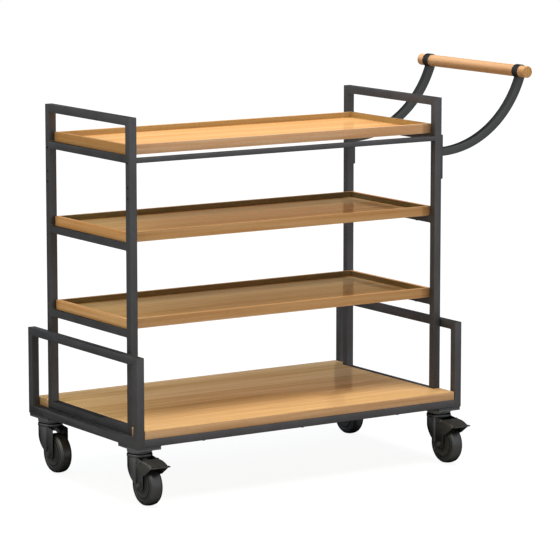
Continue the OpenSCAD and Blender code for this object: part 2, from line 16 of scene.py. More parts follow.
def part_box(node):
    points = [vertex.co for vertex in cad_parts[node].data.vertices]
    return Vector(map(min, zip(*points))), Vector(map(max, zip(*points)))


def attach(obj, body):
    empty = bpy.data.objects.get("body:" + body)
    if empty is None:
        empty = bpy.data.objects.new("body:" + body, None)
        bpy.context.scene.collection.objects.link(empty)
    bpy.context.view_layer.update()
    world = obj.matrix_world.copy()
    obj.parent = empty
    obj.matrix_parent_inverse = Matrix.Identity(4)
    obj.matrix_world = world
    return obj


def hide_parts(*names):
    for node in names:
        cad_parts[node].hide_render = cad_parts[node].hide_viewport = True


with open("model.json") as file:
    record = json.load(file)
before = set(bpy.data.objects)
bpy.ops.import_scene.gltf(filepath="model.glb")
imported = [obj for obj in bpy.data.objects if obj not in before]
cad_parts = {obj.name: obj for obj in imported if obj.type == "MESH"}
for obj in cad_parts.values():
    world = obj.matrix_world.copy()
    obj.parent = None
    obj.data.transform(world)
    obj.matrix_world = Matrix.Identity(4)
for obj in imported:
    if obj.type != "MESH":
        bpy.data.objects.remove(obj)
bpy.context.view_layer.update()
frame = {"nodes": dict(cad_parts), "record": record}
MM = 0.001
NODES = frame["nodes"]
BASE_MID = (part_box("end_hoop_left")[0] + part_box("end_hoop_right")[1]) / 2
BASE_MID.z = 0.0


def spot(x, y, z):
    """A point of the frame, from its millimetres off the middle of the base on the floor."""
    return BASE_MID + Vector((x, y, z)) * MM


# %% [markdown]
# ## Camera
# The camera could be placed by eye, but it was solved from about fifty straight edges of
# the trolley, so each edge falls on its place. It stands some eight metres away with a
# long lens, so lines hardly converge. It has no shift and no depth of field.

# %% Camera
CAMERA_PLACE = spot(-4333.2, -6776.5, 1748.2)
CAMERA_AZIMUTH = math.radians(-33.2277)
CAMERA_ELEVATION = math.radians(8.911)
LENS_MM = 202.7
SENSOR_MM = 36.0

cam_data = bpy.data.cameras.new("camera")
cam_data.lens = LENS_MM
cam_data.sensor_width = SENSOR_MM
cam_data.clip_end = 100.0
camera = bpy.data.objects.new("camera", cam_data)
bpy.context.scene.collection.objects.link(camera)
backwards = Vector((
    math.sin(CAMERA_AZIMUTH) * math.cos(CAMERA_ELEVATION),
    -math.cos(CAMERA_AZIMUTH) * math.cos(CAMERA_ELEVATION),
    math.sin(CAMERA_ELEVATION),
))
camera.matrix_world = (
    Matrix.Translation(CAMERA_PLACE) @ backwards.to_track_quat("Z", "Y").to_matrix().to_4x4()
)
bpy.context.scene.camera = camera
bpy.context.scene.view_settings.view_transform = "Standard"
print("camera looks along", [round(-v, 3) for v in backwards])

# %% [markdown]
# ## Colours and nodes
# Colours are written as sRGB hex values, as a paint chart gives them, and Blender wants
# them linear, so one function turns them. Another adds one shader node with its settings
# and links, which keeps the materials below short.

# %% Helpers for materials
def linear(hex_colour):
    """Linear RGBA of an sRGB hex colour."""
    parts = [int(hex_colour[i:i + 2], 16) / 255 for i in (1, 3, 5)]
    rgb = [p / 12.92 if p <= 0.04045 else ((p + 0.055) / 1.055) ** 2.4 for p in parts]
    return (*rgb, 1.0)


def add(tree, kind, links=None, **settings):
    """Adds a node: settings are its properties, links are its inputs by name or number."""
    node = tree.nodes.new(kind)
    for key, value in settings.items():
        setattr(node, key, value)
    for key, value in (links or {}).items():
        socket = node.inputs[key]
        if isinstance(value, bpy.types.NodeSocket):
            tree.links.new(value, socket)
        else:
            socket.default_value = value
    return node


def ramp(tree, factor, stops):
    """Colour ramp through (place, hex or grey) stops."""
    node = add(tree, "ShaderNodeValToRGB", {"Fac": factor})
    band = node.color_ramp
    while len(band.elements) < len(stops):
        band.elements.new(0.5)
    for element, (place, colour) in zip(band.elements, stops):
        element.position = place
        element.color = linear(colour) if isinstance(colour, str) else (colour, colour, colour, 1)
    return node.outputs["Color"]


def new_material(name):
    """A material with an empty Principled BSDF, and its node tree."""
    print("material:", name)
    material = bpy.data.materials.new(name)
    material.use_nodes = True
    tree = material.node_tree
    return material, tree, tree.nodes["Principled BSDF"]


# %% [markdown]
# ## Studio
# The photograph shows the trolley on pure white. A white room that bright would flood the
# trolley with light and wash out its colours, so the world is white only for the camera
# and for mirror reflections, and dim for every other ray. The light comes from lamps.

# %% World
WORLD_LEVEL = 0.06


def seen_directly(tree):
    """1 for rays from the camera, and for mirrored and transmitted ones."""
    path = add(tree, "ShaderNodeLightPath")
    mirror = add(tree, "ShaderNodeMath",
                 {0: path.outputs["Is Camera Ray"], 1: path.outputs["Is Glossy Ray"]},
                 operation="MAXIMUM")
    both = add(tree, "ShaderNodeMath",
               {0: mirror.outputs[0], 1: path.outputs["Is Transmission Ray"]},
               operation="MAXIMUM")
    return both.outputs[0]


world = bpy.data.worlds.new("white_studio")
world.use_nodes = True
bpy.context.scene.world = world
tree = world.node_tree
level = add(tree, "ShaderNodeMapRange",
            {"Value": seen_directly(tree), "To Min": WORLD_LEVEL, "To Max": 1.0})
tree.links.new(level.outputs[0], tree.nodes["Background"].inputs["Strength"])
tree.nodes["Background"].inputs["Color"].default_value = (1, 1, 1, 1)
print("world level, seen:", 1.0, "as light:", WORLD_LEVEL)

# %% [markdown]
# ## Floor
# The floor carries the trolley's shadow and throws light up on its upright faces and
# undersides. It could be one white plane, but its light would be too strong. To the camera
# it is a white glow over an almost black matte, which keeps only a faint shadow. To all
# other rays it is a matte grey, paler in front of the trolley than behind it.

# %% Floor
FLOOR_HALF = 9.0
FLOOR_FRONT, FLOOR_BACK = 0.60, 0.36
FLOOR_SEEN, FLOOR_GLOW = 0.12, 0.93
TO_THE_FRONT = (0.2, -0.98, 0.0)
BLEND_HALF = 0.9

mesh = bpy.data.meshes.new("floor")
bm = bmesh.new()
bmesh.ops.create_grid(bm, x_segments=1, y_segments=1, size=FLOOR_HALF)
bm.to_mesh(mesh)
bm.free()
floor = bpy.data.objects.new("floor", mesh)
bpy.context.scene.collection.objects.link(floor)
material, tree, shader = new_material("white_floor")
tree.nodes.remove(shader)
eye = add(tree, "ShaderNodeLightPath").outputs["Is Camera Ray"]
place = add(tree, "ShaderNodeTexCoord").outputs["Object"]
slope = add(tree, "ShaderNodeVectorMath", {0: place, 1: TO_THE_FRONT},
            operation="DOT_PRODUCT").outputs["Value"]
bounce = add(tree, "ShaderNodeMapRange",
             {"Value": slope, "From Min": -BLEND_HALF, "From Max": BLEND_HALF,
              "To Min": FLOOR_BACK, "To Max": FLOOR_FRONT}, interpolation_type="SMOOTHSTEP")
albedo = add(tree, "ShaderNodeMix", {"Factor": eye, 2: bounce.outputs[0], 3: FLOOR_SEEN},
             data_type="FLOAT")
glow = add(tree, "ShaderNodeMapRange", {"Value": eye, "To Min": 0.0, "To Max": FLOOR_GLOW})
matte = add(tree, "ShaderNodeBsdfDiffuse", {"Color": albedo.outputs[0]})
white = add(tree, "ShaderNodeEmission", {"Strength": glow.outputs[0]})
both = add(tree, "ShaderNodeAddShader", {0: matte.outputs[0], 1: white.outputs[0]})
tree.links.new(both.outputs[0], tree.nodes["Material Output"].inputs["Surface"])
mesh.materials.append(material)
print("floor:", 2 * FLOOR_HALF, "m square")

# %% [markdown]
# ## Lamps
# All lamps are distant and soft, as large diffusers are, so the light is even along the
# trolley. Area lamps could be used, but theirs falls off from one end to the other. The
# key is overhead and leans a little to the front, because the trays throw a soft shadow on
# the board below that leaves its front strip lit. A cool fill behind lightens the shaded
# boards, a warm one on the left lights the ends of the trays and of the frames, and a very
# weak one in front keeps the tubes' front faces from going black.

# %% Lamps
KEY_LEAN = math.radians(15)
LAMPS = {  # name: (level, direction to the lamp, spread in degrees, colour)
    "key": (0.69, (0.06, -math.sin(KEY_LEAN), math.cos(KEY_LEAN)), 28, (1.03, 0.97, 0.88)),
    "back_fill": (0.44, (-0.1, 0.8, 0.6), 70, (0.78, 1.0, 1.28)),
    "left_fill": (0.26, (-1.0, -0.2, 0.9), 40, (1.0, 0.98, 0.6)),
    "front_fill": (0.03, (0.2, -1.0, 0.2), 60, (0.6, 0.95, 1.5)),
}


def soft_sun(name, level, towards, spread, colour):
    """A distant soft lamp. A level of 1 renders a surface that faces it as its colour."""
    data = bpy.data.lights.new(name, "SUN")
    data.energy = level * math.pi
    data.color = colour
    data.angle = math.radians(spread)
    lamp = bpy.data.objects.new(name, data)
    bpy.context.scene.collection.objects.link(lamp)
    lamp.rotation_euler = Vector(towards).to_track_quat("Z", "Y").to_euler()
    print("lamp", name, "level", level)


for name, settings in LAMPS.items():
    soft_sun(name, *settings)

# %% [markdown]
# ## Lacquered beech
# Pale beech under a clear lacquer: straight fine grain along the board, broad warm and
# pale streaks where staves were glued side by side, and short dark flecks. It could be one
# noise, but grain, streaks and flecks have different sizes, so each has its own. Real pores
# are a tenth of a millimetre wide, so the fine grain is drawn over ten times coarser here
# to show at all. The lacquer mirrors the dark posts softly, tinted by the wood under it:
# a small metallic share does that, and the plain white mirror of the shader is off.

# %% Wood
STAVE_MM = 48.0
STREAK_MM = (420.0, 9.0)
GRAIN_MM = (90.0, 1.6)
FLECK_MM = (9.0, 0.9)
STAVE_SHARE, GRAIN_SHARE = 0.22, 0.30
GRAIN_BUMP, GRAIN_DEEP_MM = 0.05, 0.2
GLOSS_BELOW, GLOSS_ABOVE = 0.03, 0.05
LACQUER_TINT = (0.85, 0.68, 0.45, 1)


def wood(name, pale, mid, dark, along="X", gloss=0.11, mirror=0.18):
    """Lacquered beech with its grain along one axis. Gloss is the least roughness."""
    material, tree, shader = new_material(name)
    place = add(tree, "ShaderNodeTexCoord").outputs["Object"]
    turn = {"X": (0, 0, 0), "Y": (0, 0, math.pi / 2), "Z": (0, math.pi / 2, 0)}[along]
    turned = add(tree, "ShaderNodeMapping", {"Vector": place, "Rotation": turn})

    def stretched(size_mm, seed, **settings):
        """Noise whose blobs are size_mm long and wide."""
        scale = (1000 / size_mm[0], 1000 / size_mm[1], 1000 / size_mm[1])
        fit = add(tree, "ShaderNodeMapping",
                  {"Vector": turned.outputs[0], "Scale": scale, "Location": (seed, seed, seed)})
        return add(tree, "ShaderNodeTexNoise",
                   {"Vector": fit.outputs[0], "Scale": 1.0, **settings}).outputs["Fac"]

    streak = stretched(STREAK_MM, 3.1, Detail=3.0, Roughness=0.5, Distortion=0.3)
    grain = stretched(GRAIN_MM, 7.7, Detail=4.0, Roughness=0.6)
    fleck = stretched(FLECK_MM, 1.3, Detail=1.0)
    axes = add(tree, "ShaderNodeSeparateXYZ", {"Vector": turned.outputs[0]})
    row = add(tree, "ShaderNodeMath", {0: axes.outputs["Y"], 1: 1000 / STAVE_MM},
              operation="MULTIPLY")
    number = add(tree, "ShaderNodeMath", {0: row.outputs[0]}, operation="FLOOR")
    stave = add(tree, "ShaderNodeTexWhiteNoise", {"W": number.outputs[0]},
                noise_dimensions="1D").outputs["Value"]
    tone = add(tree, "ShaderNodeMath", {0: stave, 1: STAVE_SHARE, 2: streak},
               operation="MULTIPLY_ADD")
    tone = add(tree, "ShaderNodeMath", {0: grain, 1: GRAIN_SHARE, 2: tone.outputs[0]},
               operation="MULTIPLY_ADD")
    colour = ramp(tree, tone.outputs[0], [(0.48, dark), (0.72, mid), (0.95, pale)])
    spots = ramp(tree, fleck, [(0.30, 0.86), (0.40, 1.0)])
    mixed = add(tree, "ShaderNodeMix", {"Factor": 1.0, 6: colour, 7: spots},
                data_type="RGBA", blend_type="MULTIPLY")
    tree.links.new(mixed.outputs[2], shader.inputs["Base Color"])
    bump = add(tree, "ShaderNodeBump",
               {"Height": grain, "Strength": GRAIN_BUMP, "Distance": GRAIN_DEEP_MM * MM})
    tree.links.new(bump.outputs[0], shader.inputs["Normal"])
    rough = add(tree, "ShaderNodeMapRange",
                {"Value": grain, "To Min": gloss - GLOSS_BELOW, "To Max": gloss + GLOSS_ABOVE})
    tree.links.new(rough.outputs[0], shader.inputs["Roughness"])
    shader.inputs["Metallic"].default_value = mirror
    shader.inputs["Specular Tint"].default_value = LACQUER_TINT
    shader.inputs["Specular IOR Level"].default_value = 0.0
    return material


# %% [markdown]
# ## Tones of the boards, with painted light and shade
# Each kind of board has a pale, a middle and a dark tone. The three trays are the same
# boards, and each tray scales their red, green and blue: painted light and shade, warmer on
# the lit top tray and mostly darker on the two below, which lie in the shade of the trays
# above. One material with a switch could do that, but named materials keep every board's
# tones in sight. The insides of the rims are darker and greyer, painted shade of the
# corners, and mirror almost nothing.

# %% Tones
def toned(tones, share):
    """The same tones with red, green and blue each scaled by a share."""
    scaled = []
    for tone in tones:
        parts = [min(255, round(int(tone[i:i + 2], 16) * f)) for i, f in zip((1, 3, 5), share)]
        scaled.append("#%02X%02X%02X" % tuple(parts))
    return scaled


PANEL_TONES = ("#FFD6A2", "#F6C48B", "#E9B276")
RIM_TONES = ("#FCCC9A", "#F2BB82", "#E4A86D")
# Painted light: the strips across are redder and darker, standing in for the warm light on the
# trays' left ends.
RIM_END_LIT_TONES = ("#F4BA80", "#EBA969", "#DD9B5A")
# Painted shade: the rims' insides are darker and greyer than the rims themselves.
INSIDE_SHADE_TONES = ("#C8B388", "#BFA97F", "#B29A70")
INSIDE_END_SHADE_TONES = ("#BA9F70", "#B29568", "#A4885C")
# Painted light and shade: each tray's shares make lit and shaded copies of the same boards.
TRAY_LIGHT_SHARES = {  # tray: shares of panel, rims, rim ends and the rims' insides
    "top": ((1.04, 0.975, 0.9), (1.03, 1.05, 1.15), (0.94, 0.93, 0.91), (1.05, 1.04, 1.02)),
    "middle": ((0.97, 1.01, 0.99), (0.895, 0.88, 0.855), (1.04, 1.04, 1.06), (0.77, 0.83, 0.87)),
    "bottom": ((0.915, 0.935, 0.915), (0.885, 0.88, 0.88), (1.04, 1.06, 1.1), (0.83, 0.84, 0.84)),
}
DULL = 0.03

# %% Boards of the trays
PANEL_WOOD, RIM_WOODS = {}, {}
for level, (panel, rims, ends, insides) in TRAY_LIGHT_SHARES.items():
    kind = "lacquered_beech_"
    # Panels: broad streaks along the tray under a satin skin that mirrors the posts.
    PANEL_WOOD[level] = wood(kind + "panel_" + level, *toned(PANEL_TONES, panel))
    # Rims: long strips, strips across with their grain along Y and their tones warmed as painted
    # light, and the insides of both, duller and darker with painted shade.
    RIM_WOODS[level] = [
        wood(kind + "rims_" + level, *toned(RIM_TONES, rims)),
        wood(kind + "rim_ends_" + level, *toned(RIM_END_LIT_TONES, ends), along="Y"),
        wood(kind + "rims_inside_painted_shade_" + level, *toned(INSIDE_SHADE_TONES, insides), mirror=DULL),
        wood(kind + "rim_ends_inside_" + level, *toned(INSIDE_END_SHADE_TONES, insides),
             along="Y", mirror=DULL)]
    print("beech for the", level, "tray:", toned(PANEL_TONES, panel))

# %% Deck and push bar
# Deck: the same satin beech, a little calmer, with a faint mirror of the posts on it.
DECK_WOOD = wood("lacquered_beech_deck", "#F6CE9B", "#E8BC86", "#D4A56F", mirror=0.14)
# Deck edge: the sawn and sanded narrow faces, redder and darker than the flat.
DECK_EDGE = wood("lacquered_beech_deck_edge", "#EABE95", "#DCAD81", "#C9986B", mirror=0.14)
# Push bar: turned and rubbed matt, so that it shows a broad soft sheen and no sharp line.
BAR_WOOD = wood("turned_beech_bar", "#EBBC91", "#E2AE83", "#D69E6C", along="Y", gloss=0.4,
                mirror=0.3)
# Bar ends: end grain, which drinks the lacquer and stays dull and darker.
BAR_END = wood("turned_beech_bar_ends", "#E9B780", "#DDA76C", "#CB935A", along="Z", gloss=0.5)

# %% [markdown]
# ## Powder coat, plastic and rubber
# The frames are mild steel under a near-black powder coat. The powder melts into a skin
# with a faint orange peel, a millimetre or two from crest to crest, which breaks up the
# reflections and leaves a soft grey sheen on every flat face. Paint, moulded plastic and
# rubber look alike in this: a cloudy dark tone, a fine skin and some gloss. Each could have
# its own tree of nodes, but one function with other values says more plainly what differs.

# %% Dark finishes
PEEL_MM, PEEL_DEEP_MM = 1.6, 0.2
CLOUD_MM = 60.0
SHEEN_TINT = (0.1, 0.1, 0.1, 1)


def dark_finish(name, dark, pale, roughness, peel, metal=0.5):
    """Powder coat, paint, plastic or rubber. A larger metal share mirrors more light."""
    material, tree, shader = new_material(name)
    place = add(tree, "ShaderNodeTexCoord").outputs["Object"]
    cloud = add(tree, "ShaderNodeTexNoise",
                {"Vector": place, "Scale": 1000 / CLOUD_MM, "Detail": 3.0}).outputs["Fac"]
    tree.links.new(ramp(tree, cloud, [(0.35, dark), (0.65, pale)]),
                   shader.inputs["Base Color"])
    skin = add(tree, "ShaderNodeTexNoise",
               {"Vector": place, "Scale": 1000 / PEEL_MM, "Detail": 1.0}).outputs["Fac"]
    bump = add(tree, "ShaderNodeBump",
               {"Height": skin, "Strength": peel, "Distance": PEEL_DEEP_MM * MM})
    tree.links.new(bump.outputs[0], shader.inputs["Normal"])
    rough = add(tree, "ShaderNodeMapRange",
                {"Value": cloud, "To Min": roughness - 0.04, "To Max": roughness + 0.04})
    tree.links.new(rough.outputs[0], shader.inputs["Roughness"])
    shader.inputs["Metallic"].default_value = metal
    shader.inputs["Specular Tint"].default_value = SHEEN_TINT
    shader.inputs["Specular IOR Level"].default_value = 0.0
    return material


# Frame tube: satin near-black, a shade greyer on each flat face that catches the light.
FRAME_PAINT = dark_finish("powder_coated_steel", "#555456", "#5B5A5D", 0.45, 0.15, metal=0.62)
# Bent arms: the same coat, matter, so that the bend shades slowly and has no bright line.
ARM_PAINT = dark_finish("powder_coated_bent_tube", "#525554", "#585B5A", 0.62, 0.15, metal=0.85)
# Inside of the bend: painted shade, a darker tone on the faces that look towards the bend's
# centre, which parts the hollow side from the tube's flanks.
ARM_PAINTED_SHADE = dark_finish("powder_coated_bend_painted_shade", "#38383A", "#3E3E40", 0.62, 0.15,
                         metal=0.85)
# Collars: the darkest steel, a crisp dark ring round each end of the pale bar.
COLLAR_PAINT = dark_finish("powder_coated_collar", "#38383A", "#3E3E40", 0.6, 0.1, metal=0.85)
# Castor forks: pressed sheet under smooth paint, with clear soft lights on its rounds.
CASTOR_PAINT = dark_finish("painted_pressed_steel", "#525253", "#575758", 0.32, 0.08, metal=0.9)
# Top plates: paler than the fork's paint, painted light that lifts the plates and cups out of the
# pad's shade, a pale band between pad and fork.
RACE_PAINTED_LIGHT = dark_finish("race_plate_painted_light", "#6A6A6C", "#707072", 0.42, 0.08)
# Bolts, nuts and screws: blackened, small dark heads with a dull metal gleam.
FIXING_STEEL = dark_finish("blackened_steel", "#5C5C5C", "#656565", 0.4, 0.05)
# Wheel centres: moulded plastic, even and dull, so the dished guard shows by its shading.
WHEEL_PLASTIC = dark_finish("moulded_wheel_plastic", "#4C4C4C", "#505050", 0.5, 0.1)
# Tyres: rubber with a fine grain, a broad sheen along the tread that fades to the walls.
TYRE_RUBBER = dark_finish("tyre_rubber", "#4E4E4F", "#535354", 0.38, 0.2, metal=0.85)
# Pedal hoods: moulded plastic, a soft light on the rounded shoulders.
PEDAL_PLASTIC = dark_finish("moulded_pedal_plastic", "#525150", "#575655", 0.45, 0.1)

# %% [markdown]
# ## Pedal grip and painted shade
# The pedal's roof is ribbed across, so that a shoe doesn't slip. The ribs could be cut into
# the mesh, but they are only half a millimetre high, so a wave gives them tone and bump.
# They are drawn four millimetres apart, coarser than real ones, to show at all. Their dark
# grooves lie on every face of the pedal that looks upwards and darken it, which is painted shade.

# %% Pedal grip and painted shade
GRIP_PITCH_MM, GRIP_HIGH_MM = 4.0, 0.5
WAVE_LENGTH = math.tau / 20  # metres from crest to crest of a wave texture at a scale of 1


def ribbed_grip_and_shade(name, groove, crest):
    """Moulded plastic with fine ribs across, under the foot; their dark grooves are partly
    painted shade.
    """
    material, tree, shader = new_material(name)
    place = add(tree, "ShaderNodeTexCoord").outputs["Object"]
    rib = add(tree, "ShaderNodeTexWave",
              {"Vector": place, "Scale": WAVE_LENGTH / (GRIP_PITCH_MM * MM), "Distortion": 1.5,
               "Detail": 1.0}, bands_direction="Y").outputs["Fac"]
    tree.links.new(ramp(tree, rib, [(0.25, groove), (0.75, crest)]), shader.inputs["Base Color"])
    bump = add(tree, "ShaderNodeBump",
               {"Height": rib, "Strength": 0.4, "Distance": GRIP_HIGH_MM * MM})
    tree.links.new(bump.outputs[0], shader.inputs["Normal"])
    shader.inputs["Roughness"].default_value = 0.6
    shader.inputs["Metallic"].default_value = 0.3
    shader.inputs["Specular IOR Level"].default_value = 0.0
    return material


# Grip: dark grooves and paler worn crests, which read as a matt patch on the pedal; their
# darkness on the upward faces is partly painted shade.
PEDAL_GRIP_AND_SHADE = ribbed_grip_and_shade("ribbed_pedal_plastic_and_shade", "#29292A", "#444443")

# %% [markdown]
# ## Dress the CAD nodes
# Bolts, screws, washers and panels keep their CAD shape, which is already right, and need
# only a finish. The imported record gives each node's material slot, so one table from slot
# to finish dresses them all. The nodes that are replaced below are dressed too.

# %% Dress the CAD nodes
FINISH = {
    "frame": FRAME_PAINT, "deck_wood": DECK_WOOD, "rim_wood": RIM_WOODS["top"][0],
    "tray_wood": PANEL_WOOD["top"], "bar_wood": BAR_WOOD, "fixings": FIXING_STEEL,
    "castor_metal": CASTOR_PAINT, "wheel_centre": WHEEL_PLASTIC, "tyre": TYRE_RUBBER,
    "brake": PEDAL_PLASTIC,
}
SLOT_OF = {part["node"]: part["material_slot"] for part in frame["record"]["subparts"]}
for name, node in NODES.items():
    node.data.materials.clear()
    node.data.materials.append(FINISH[SLOT_OF[name]])
for level, finish in PANEL_WOOD.items():
    NODES[f"tray_{level}_panel"].data.materials[0] = finish
print("dressed", len(NODES), "nodes")

# %% [markdown]
# ## How the pieces are made
# Each piece starts as a few vertices or a create_ shape in a bmesh and is worked with
# operators, like material at a bench. It could be typed in as a list of corners, but the
# operators keep the sizes in sight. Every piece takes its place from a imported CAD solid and
# stands in for it, and its shading turns sharp only where two faces meet at a real edge.

# %% Workbench
SMOOTH_BELOW = math.radians(38)
SHARP_ABOVE = math.radians(50)


def make_piece(name, bm, finishes, body, slot, *replaced):
    """Turns a worked bmesh into an object that rides on a body and replaces CAD nodes."""
    bmesh.ops.recalc_face_normals(bm, faces=bm.faces)
    mesh = bpy.data.meshes.new(name)
    bm.to_mesh(mesh)
    bm.free()
    mesh.shade_smooth()
    mesh.set_sharp_from_angle(angle=SMOOTH_BELOW)
    for finish in finishes:
        mesh.materials.append(finish)
    piece = bpy.data.objects.new(name, mesh)
    bpy.context.scene.collection.objects.link(piece)
    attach(piece, body)
    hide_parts(*replaced)
    print(name, "faces:", len(mesh.polygons))
    return piece


def sharp_edges(bm, wanted=lambda edge: True):
    """Edges where two faces meet at a real corner."""
    bm.normal_update()
    return [e for e in bm.edges
            if e.is_manifold and e.calc_face_angle(0) > SHARP_ABOVE and wanted(e)]


def ease(bm, edges, width_mm, segments=3):
    """Rounds edges, as a file, a router or a press tool leaves them."""
    bmesh.ops.bevel(bm, geom=edges, offset=width_mm * MM, offset_type="OFFSET",
                    segments=segments, profile=0.5, affect="EDGES", material=-1,
                    clamp_overlap=True)


def joined(parts):
    """One bmesh that holds several, each of which is used up."""
    whole = bmesh.new()
    for part in parts:
        scratch = bpy.data.meshes.new("scratch")
        part.to_mesh(scratch)
        part.free()
        whole.from_mesh(scratch)
        bpy.data.meshes.remove(scratch)
    return whole


def cut(bm, place, across, **settings):
    """Cuts a shape with the plane at a place and returns what lies on the cut."""
    return bmesh.ops.bisect_plane(bm, geom=bm.verts[:] + bm.edges[:] + bm.faces[:],
                                  plane_co=place, plane_no=across, **settings)["geom_cut"]


def push(bm, faces, way):
    """Makes flat faces a solid by pushing them along a way."""
    new = bmesh.ops.extrude_face_region(bm, geom=faces)["geom"]
    bmesh.ops.translate(bm, vec=way, verts=[v for v in new if isinstance(v, bmesh.types.BMVert)])


def move(bm, way):
    """Moves a whole shape."""
    bmesh.ops.translate(bm, vec=way, verts=bm.verts)


def block(low, high):
    """A box between two corners."""
    bm = bmesh.new()
    bmesh.ops.create_cube(bm, size=1.0)
    bmesh.ops.scale(bm, vec=high - low, verts=bm.verts)
    move(bm, (low + high) / 2)
    return bm


# %% [markdown]
# ## Welded frames
# A hoop and a ladder of square steel tube are flat frames. They could be built from single
# tubes, but on the real ones the weld seams are ground flush, so one closed skin is nearer.
# A face of the frame's outline is cut along its windows, the windows are taken out, and the
# rest is thickened. The inner corners get the small round of a ground weld, and then every
# outer edge gets the round of a drawn tube. Both ladders are drilled, so that the push bar
# can go on either end. Its plates hide the holes on the right, so only those on the left
# are made, three on each post.

# %% Flat frames
TUBE_MM = 20.0
TUBE_ROUND_MM = 1.8
WELD_ROUND_MM = 2.5
TRAY_BAR_MM = 18.0
HOLE_R_MM, HOLE_DEEP_MM, HOLE_MARGIN_MM = 3.1, 6.0, 1.0
ORDER = Vector((1.0, 37.7, 1409.3))  # weights that give each point a number of its own


def drill(bm, place, inwards):
    """Turns the square face at a place into a blind round hole, each side cut in four."""
    face = min(bm.faces, key=lambda f: (f.calc_center_median() - place).length)
    for edge in face.edges[:]:
        for left in (4, 3, 2):
            bmesh.utils.edge_split(edge, edge.verts[0], 1 / left)
    for vert in face.verts:
        vert.co = place + (vert.co - place).normalized() * HOLE_R_MM * MM
    floor_face = bmesh.ops.extrude_discrete_faces(bm, faces=[face])["faces"][0]
    bmesh.ops.translate(bm, vec=inwards * HOLE_DEEP_MM * MM, verts=floor_face.verts)


def flat_frame(node, windows, holes=()):
    """A frame across the trolley. Windows are (y low, z low, y high, z high), holes (y, z)."""
    low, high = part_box(node)
    size, mid = high - low, (low + high) / 2
    bm = bmesh.new()
    bmesh.ops.create_grid(bm, x_segments=1, y_segments=1, size=0.5)
    stand_up = Matrix(((0, 0, 1, low.x), (size.y, 0, 0, mid.y),
                       (0, size.z, 0, mid.z), (0, 0, 0, 1)))
    bmesh.ops.transform(bm, matrix=stand_up, verts=bm.verts)
    cuts = {(y, None) for w in windows for y in (w[0], w[2])}
    cuts |= {(None, z) for w in windows for z in (w[1], w[3])}
    reach = (HOLE_R_MM + HOLE_MARGIN_MM) * MM
    for y, z in holes:
        cuts |= {(y - reach, None), (y + reach, None), (None, z - reach), (None, z + reach)}
    for y, z in sorted(cuts, key=str):
        if z is None:
            cut(bm, (0, y, 0), (0, 1, 0))
        else:
            cut(bm, (0, 0, z), (0, 0, 1))
    open_faces = []
    for face in bm.faces:
        centre = face.calc_center_median()
        if any(w[0] < centre.y < w[2] and w[1] < centre.z < w[3] for w in windows):
            open_faces.append(face)
    bmesh.ops.delete(bm, geom=open_faces, context="FACES")
    push(bm, bm.faces[:], (size.x, 0, 0))
    for y, z in holes:
        drill(bm, Vector((low.x, y, z)), Vector((1, 0, 0)))
    bmesh.ops.recalc_face_normals(bm, faces=bm.faces)
    # Merging flat faces goes by their order, so they are sorted by place and it repeats.
    bm.verts.sort(key=lambda v: v.co.dot(ORDER))
    bm.edges.sort(key=lambda e: (e.verts[0].co + e.verts[1].co).dot(ORDER))
    bm.faces.sort(key=lambda f: f.calc_center_median().dot(ORDER))
    bmesh.ops.dissolve_limit(bm, angle_limit=math.radians(1), verts=bm.verts, edges=bm.edges)
    ease(bm, sharp_edges(bm, lambda e: e.calc_face_angle_signed(0) < 0
                         and e.calc_length() > 2 * HOLE_DEEP_MM * MM), WELD_ROUND_MM)
    ease(bm, sharp_edges(bm, lambda e: e.calc_length() > HOLE_R_MM * MM), TUBE_ROUND_MM)
    return bm


# %% Hoops and ladders
TUBE = TUBE_MM * MM
seats = [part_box(f"tray_{level}_rim")[0].z for level in ("bottom", "middle", "top")]
BOLT_Y_MM, BOLT_Z_MM = (-200, 200), (754, 781, 841)
bolt_holes = [(spot(0, y, 0).y, spot(0, 0, z).z) for y in BOLT_Y_MM for z in BOLT_Z_MM]
for side in ("left", "right"):
    low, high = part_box("end_hoop_" + side)
    window = (low.y + TUBE, low.z + TUBE, high.y - TUBE, high.z - TUBE)
    make_piece("welded_hoop_" + side, flat_frame("end_hoop_" + side, [window]),
               [FRAME_PAINT], "trolley", "frame", "end_hoop_" + side)
    low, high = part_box("end_frame_" + side)
    floors = [low.z + TUBE] + seats
    roofs = [seat - TRAY_BAR_MM * MM for seat in seats] + [high.z - TUBE]
    windows = [(low.y + TUBE, a, high.y - TUBE, b) for a, b in zip(floors, roofs)]
    drilled = bolt_holes if side == "left" else ()
    make_piece("welded_ladder_" + side, flat_frame("end_frame_" + side, windows, drilled),
               [FRAME_PAINT], "trolley", "frame", "end_frame_" + side)

# %% [markdown]
# ## Straight rails
# The side, cross and tie rails are lengths of tube sawn square and butted against the
# frames. A box eased along its four long edges gives the tube, and both ends are inset by
# the wall and sunk, so the sawn ends stay open as on the real rail. A hollow tube all
# through would look the same, but with twice the faces.

# %% Rails
WALL_MM = 1.5
SAWN_DEPTH_MM = 12.0


def rail(node):
    """A square tube along the longest side of its node."""
    low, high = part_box(node)
    size = high - low
    along = max(range(3), key=lambda i: size[i])
    bm = block(low, high)
    long_edges = sharp_edges(
        bm, lambda e: abs((e.verts[0].co - e.verts[1].co)[along]) > size[along] / 2)
    ease(bm, long_edges, TUBE_ROUND_MM)
    bm.normal_update()
    ends = [f for f in bm.faces if abs(f.normal[along]) > 0.9]
    bmesh.ops.inset_individual(bm, faces=ends, thickness=WALL_MM * MM)
    for face in ends:
        sink = face.normal.copy() * -SAWN_DEPTH_MM * MM
        deep = bmesh.ops.extrude_discrete_faces(bm, faces=[face])["faces"][0]
        bmesh.ops.translate(bm, vec=sink, verts=deep.verts)
    return bm


